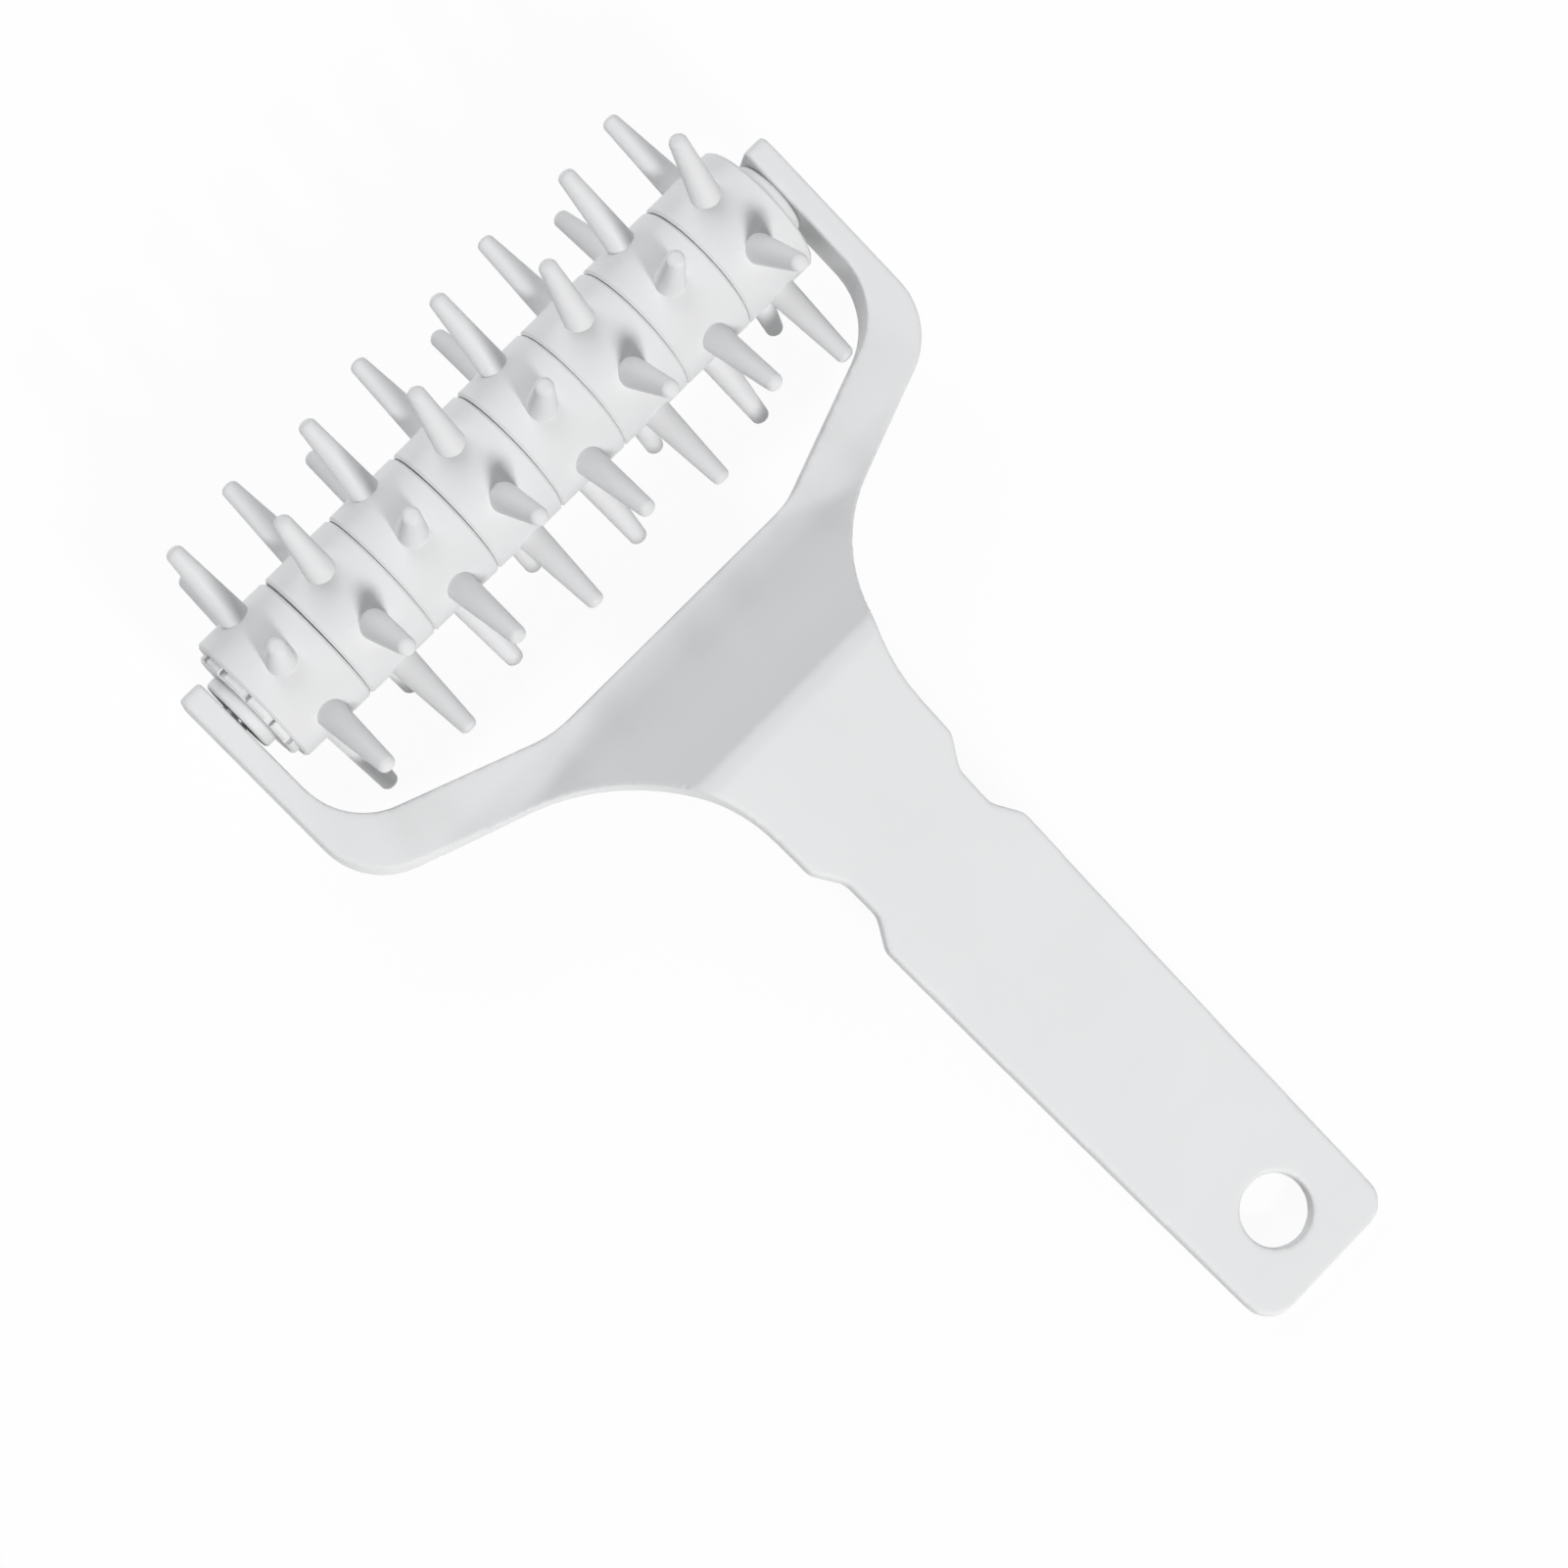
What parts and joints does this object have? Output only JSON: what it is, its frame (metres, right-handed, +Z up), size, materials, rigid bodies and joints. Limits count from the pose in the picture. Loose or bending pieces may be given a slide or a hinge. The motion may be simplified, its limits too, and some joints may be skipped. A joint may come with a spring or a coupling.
{
  "type": "dough docker",
  "caption": "Hand roller for docking dough: spiked rings keyed together on a steel axle in a wide fork with a cranked, gently dished handle and a hanging hole",
  "frame": {"origin": "centre of the bounding box on the table, with the tool resting on its spikes and the end of its handle", "axes": "+X along the roller's axle, +Y from the handle towards the roller, +Z up"},
  "size_m": [0.1228, 0.198, 0.0515],
  "materials": {
    "handle_frame": "gloss",
    "axle": "satin",
    "spacers": "gloss",
    "rings": "gloss"
  },
  "bodies": {
    "frame": {"handle_frame": "handle_frame", "axle": "axle"},
    "roller": {"spacer_left": "spacers", "spacer_right": "spacers", "ring_1": "rings", "ring_2": "rings", "ring_3": "rings", "ring_4": "rings", "ring_5": "rings", "ring_6": "rings", "ring_7": "rings", "ring_8": "rings"}
  },
  "joints": [
    {"name": "roller_spin", "type": "hinge", "parent": "frame", "child": "roller", "pos_m": [0, 0.07325, 0.02576], "axis": [1, 0, 0], "continuous": true}
  ]
}
